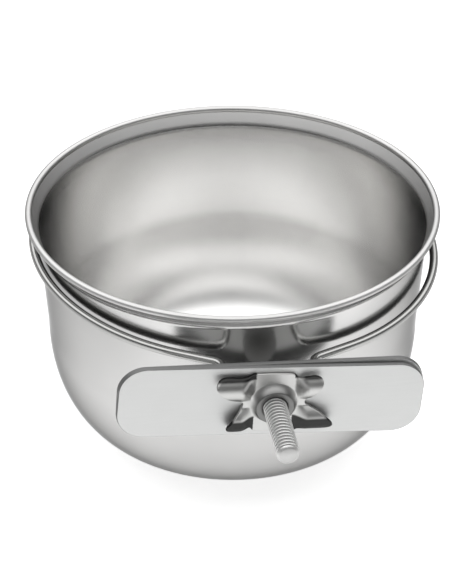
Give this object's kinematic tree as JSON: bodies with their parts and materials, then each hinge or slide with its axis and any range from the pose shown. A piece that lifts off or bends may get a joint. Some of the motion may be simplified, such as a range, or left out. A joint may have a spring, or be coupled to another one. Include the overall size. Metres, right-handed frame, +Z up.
{
  "type": "stainless steel feeder",
  "caption": "Deep round steel bowl with a flared lip, held in a wire ring on a plate clamp that a bolt and butterfly nut close on cage bars.",
  "frame": {"origin": "where the clamp bolt's axis meets the clamping face of the rear plate", "axes": "+Z up along the bowl's axis, the bolt points to -Y and leans slightly down, +X to the right as seen facing the nut"},
  "size_m": [0.115, 0.1477, 0.069],
  "materials": {
    "bowl_steel": "polished, faint spin lines",
    "wire_steel": "bright drawn wire",
    "weld_steel": "dull, as welded",
    "plate_steel": "satin, sheared edges",
    "bolt_steel": "bright plated thread",
    "nut_steel": "bright plated pressing"
  },
  "bodies": {
    "holder": {"ring_wire": "wire_steel", "weld_left": "weld_steel", "weld_right": "weld_steel", "rear_plate": "plate_steel", "bolt": "bolt_steel"},
    "dish": {"bowl": "bowl_steel"},
    "front_jaw": {"front_plate": "plate_steel"},
    "nut": {"wing_nut": "nut_steel"}
  },
  "joints": [
    {"name": "bowl_lift", "type": "slide", "parent": "holder", "child": "dish", "axis": [0, 0, 1], "range_m": [0, 0.07]},
    {"name": "plate_slide", "type": "slide", "parent": "holder", "child": "front_jaw", "axis": [0, -0.9986, -0.0523], "range_m": [0, 0.0199]},
    {"name": "nut_turn", "type": "hinge", "parent": "front_jaw", "child": "nut", "pos_m": [0, 0, 0], "axis": [0, -0.9986, -0.0523], "range_deg": [0, 5220]}
  ],
  "couplings": [
    {"joint": "plate_slide", "follows": "nut_turn", "m_per_rad": 0.00020213}
  ]
}
